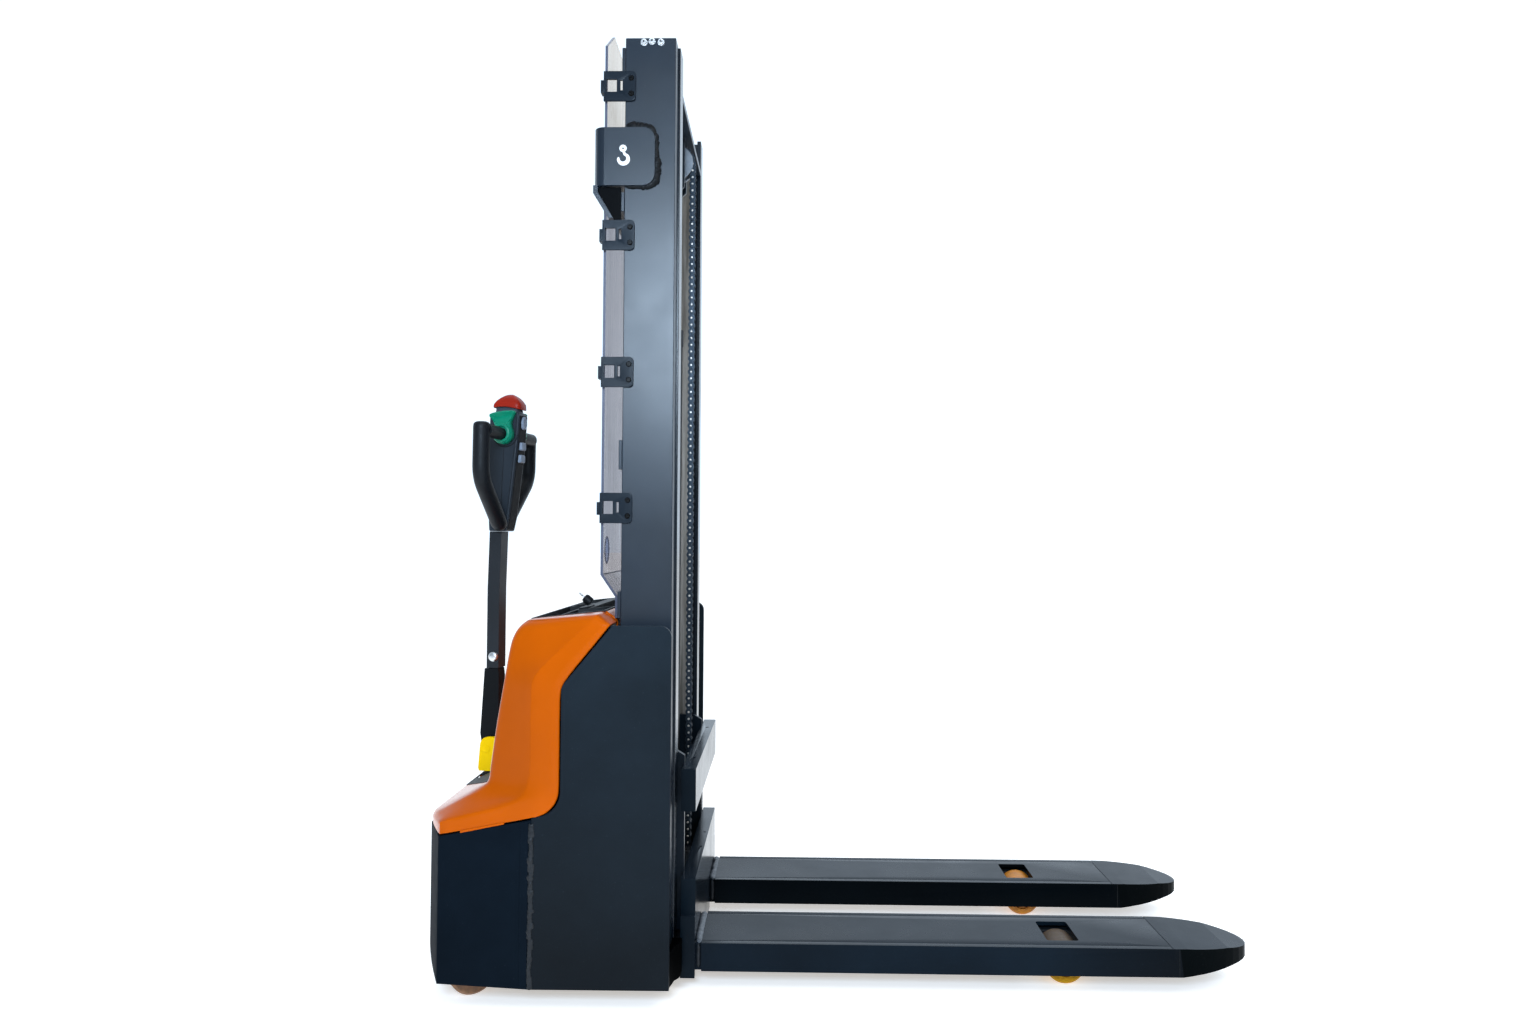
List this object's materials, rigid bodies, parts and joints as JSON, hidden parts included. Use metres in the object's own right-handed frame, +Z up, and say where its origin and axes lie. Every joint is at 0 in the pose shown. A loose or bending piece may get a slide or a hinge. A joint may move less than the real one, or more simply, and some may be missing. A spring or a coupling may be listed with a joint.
{
  "type": "walkie stacker",
  "caption": "Pedestrian electric stacker with a telescopic mast, straddling pallet forks, chain-lifted carriage, moulded rear cover and a steerable tiller with thumb paddles.",
  "frame": {"origin": "middle of the bounding box, on the floor", "axes": "+X towards the fork tips, +Y to the left of the forks, +Z up along the mast"},
  "size_m": [1.698, 0.78, 1.997],
  "materials": {
    "frame_black": "satin powder coat",
    "mast_black": "satin powder coat",
    "fork_black": "satin paint",
    "steel": "ground steel",
    "zinc": "zinc plated",
    "rod_chrome": "hard chromed",
    "orange_cover": "moulded, satin",
    "black_plastic": "fine grain",
    "clear_guard": "clear polycarbonate",
    "yellow_plastic": "moulded",
    "red_plastic": "moulded",
    "green_plastic": "moulded",
    "grey_button": "matte",
    "polyurethane": "cast polyurethane",
    "drive_rubber": "cast polyurethane",
    "chain_steel": "oiled black steel",
    "castor_steel": "zinc plated",
    "battery_case": "moulded case",
    "motor_black": "painted",
    "gear_iron": "painted",
    "controller": "anodised"
  },
  "bodies": {
    "chassis": {"side_plates": "frame_black", "rear_skirt": "frame_black", "chassis_frame": "frame_black", "support_legs": "frame_black", "load_axles": "steel", "outer_mast_rails": "mast_black", "outer_mast_crossbeams": "mast_black", "lifting_bracket": "frame_black", "guard_panel": "clear_guard", "guard_brackets": "frame_black", "guard_screws": "chain_steel", "mast_top_bolts": "zinc", "cylinder_barrels": "fork_black", "lift_chain_rear": "chain_steel", "rear_cover": "orange_cover", "dash_tray": "black_plastic", "tiller_well": "black_plastic", "key_switch": "black_plastic", "battery_pack": "battery_case", "pump_unit": "gear_iron", "motor_controller": "controller"},
    "inner_mast": {"inner_mast_rails": "mast_black", "inner_mast_crossbeams": "mast_black", "cylinder_rods": "rod_chrome", "lift_chain_front": "chain_steel"},
    "carriage": {"carriage_side_plates": "fork_black", "carriage_upper_beam": "fork_black", "carriage_lower_beam": "fork_black", "chain_anchor": "chain_steel", "fork_left": "fork_black", "fork_right": "fork_black"},
    "sheave_wheel": {"sheave": "zinc"},
    "outer_rollers": {"outer_mast_rollers": "steel"},
    "inner_rollers": {"inner_mast_rollers": "steel"},
    "carriage_low_rollers": {"carriage_rollers_lower": "steel"},
    "carriage_top_rollers": {"carriage_rollers_upper": "steel"},
    "steering": {"drive_gearbox": "gear_iron", "drive_motor": "motor_black", "tiller_base": "yellow_plastic"},
    "drive_wheel": {"drive_hub": "steel", "drive_tyre": "drive_rubber"},
    "tiller": {"tiller_bracket": "fork_black", "tiller_arm": "fork_black", "tiller_pins": "zinc", "tiller_head": "black_plastic", "handle_left": "black_plastic", "handle_right": "black_plastic"},
    "belly": {"belly_button": "red_plastic"},
    "paddles": {"butterfly": "green_plastic"},
    "horn": {"horn_button": "grey_button"},
    "lift_key": {"lift_button": "grey_button"},
    "lower_key": {"lower_button": "grey_button"},
    "key_body": {"key": "zinc"},
    "emergency": {"emergency_button": "red_plastic"},
    "castor_left": {"castor_fork_left": "castor_steel"},
    "castor_right": {"castor_fork_right": "castor_steel"},
    "castor_roll_left": {"castor_wheel_left": "drive_rubber"},
    "castor_roll_right": {"castor_wheel_right": "drive_rubber"},
    "load_left": {"load_roller_left": "polyurethane"},
    "load_right": {"load_roller_right": "polyurethane"}
  },
  "joints": [
    {"name": "mast_lift", "type": "slide", "parent": "chassis", "child": "inner_mast", "axis": [0, 0, 1], "range_m": [0, 1.3], "deforming": ["lift_chain_rear"]},
    {"name": "carriage_lift", "type": "slide", "parent": "inner_mast", "child": "carriage", "axis": [0, 0, 1], "range_m": [0, 1.3], "deforming": ["lift_chain_front"]},
    {"name": "sheave_turn", "type": "hinge", "parent": "inner_mast", "child": "sheave_wheel", "pos_m": [-0.385, 0, 1.804], "axis": [0, 1, 0], "range_deg": [-1840, 10]},
    {"name": "outer_roller_turn", "type": "hinge", "parent": "chassis", "child": "outer_rollers", "pos_m": [-0.397, 0, 1.896], "axis": [0, 1, 0], "range_deg": [-10, 1810]},
    {"name": "inner_roller_turn", "type": "hinge", "parent": "inner_mast", "child": "inner_rollers", "pos_m": [-0.402, 0, 0.136], "axis": [0, 1, 0], "range_deg": [-1810, 10]},
    {"name": "carriage_low_turn", "type": "hinge", "parent": "carriage", "child": "carriage_low_rollers", "pos_m": [-0.397, 0, 0.14], "axis": [0, 1, 0], "range_deg": [-1810, 10]},
    {"name": "carriage_top_turn", "type": "hinge", "parent": "carriage", "child": "carriage_top_rollers", "pos_m": [-0.397, 0, 0.394], "axis": [0, 1, 0], "range_deg": [-10, 1810]},
    {"name": "steer", "type": "hinge", "parent": "chassis", "child": "steering", "pos_m": [-0.731, 0, 0.24], "axis": [0, 0, 1], "range_deg": [-75.8, 94.2]},
    {"name": "drive_roll", "type": "hinge", "parent": "steering", "child": "drive_wheel", "pos_m": [-0.731, 0, 0.1], "axis": [0.1599, 0.9871, 0], "continuous": true},
    {"name": "tiller_tilt", "type": "hinge", "parent": "steering", "child": "tiller", "pos_m": [-0.808, 0.01247, 0.428], "axis": [-0.1599, -0.9871, 0], "range_deg": [0, 68], "stiffness_Nm_per_rad": 20, "springref_deg": -28.65},
    {"name": "belly_press", "type": "slide", "parent": "tiller", "child": "belly", "axis": [0, 0, -1], "range_m": [0, 0.006], "stiffness_N_per_m": 800, "springref_m": -0.004},
    {"name": "paddle_turn", "type": "hinge", "parent": "tiller", "child": "paddles", "pos_m": [-0.77542, 0.0072, 1.161], "axis": [0.1599, 0.9871, 0], "range_deg": [-30, 30], "stiffness_Nm_per_rad": 0.6},
    {"name": "horn_press", "type": "slide", "parent": "tiller", "child": "horn", "axis": [-0.9871, 0.1599, 0], "range_m": [0, 0.002], "stiffness_N_per_m": 400, "springref_m": -0.002},
    {"name": "lift_press", "type": "slide", "parent": "tiller", "child": "lift_key", "axis": [-0.9871, 0.1599, 0], "range_m": [0, 0.002], "stiffness_N_per_m": 400, "springref_m": -0.002},
    {"name": "lower_press", "type": "slide", "parent": "tiller", "child": "lower_key", "axis": [-0.9871, 0.1599, 0], "range_m": [0, 0.002], "stiffness_N_per_m": 400, "springref_m": -0.002},
    {"name": "key_turn", "type": "hinge", "parent": "chassis", "child": "key_body", "pos_m": [-0.557, -0.11, 0.777], "axis": [-0.766, 0, 0.6428], "range_deg": [0, 60]},
    {"name": "emergency_press", "type": "slide", "parent": "chassis", "child": "emergency", "axis": [0.1115, 0, -0.9938], "range_m": [0, 0.006]},
    {"name": "castor_swivel_left", "type": "hinge", "parent": "chassis", "child": "castor_left", "pos_m": [-0.729, 0.292, 0.145], "axis": [0, 0, 1], "continuous": true},
    {"name": "castor_turn_left", "type": "hinge", "parent": "castor_left", "child": "castor_roll_left", "pos_m": [-0.75136, 0.30885, 0.05], "axis": [0.6018, 0.7986, 0], "continuous": true},
    {"name": "load_turn_left", "type": "hinge", "parent": "chassis", "child": "load_left", "pos_m": [0.466, 0.195, 0.042], "axis": [0, 1, 0], "continuous": true},
    {"name": "castor_swivel_right", "type": "hinge", "parent": "chassis", "child": "castor_right", "pos_m": [-0.729, -0.292, 0.145], "axis": [0, 0, 1], "continuous": true},
    {"name": "castor_turn_right", "type": "hinge", "parent": "castor_right", "child": "castor_roll_right", "pos_m": [-0.75136, -0.30885, 0.05], "axis": [-0.6018, 0.7986, 0], "continuous": true},
    {"name": "load_turn_right", "type": "hinge", "parent": "chassis", "child": "load_right", "pos_m": [0.466, -0.195, 0.042], "axis": [0, 1, 0], "continuous": true}
  ],
  "couplings": [
    {"joint": "carriage_lift", "follows": "mast_lift", "ratio": 1},
    {"joint": "sheave_turn", "follows": "mast_lift", "rad_per_m": -24.39},
    {"joint": "outer_roller_turn", "follows": "mast_lift", "rad_per_m": 24.01},
    {"joint": "inner_roller_turn", "follows": "mast_lift", "rad_per_m": -24.01},
    {"joint": "carriage_low_turn", "follows": "mast_lift", "rad_per_m": -24.01},
    {"joint": "carriage_top_turn", "follows": "mast_lift", "rad_per_m": 24.01}
  ]
}
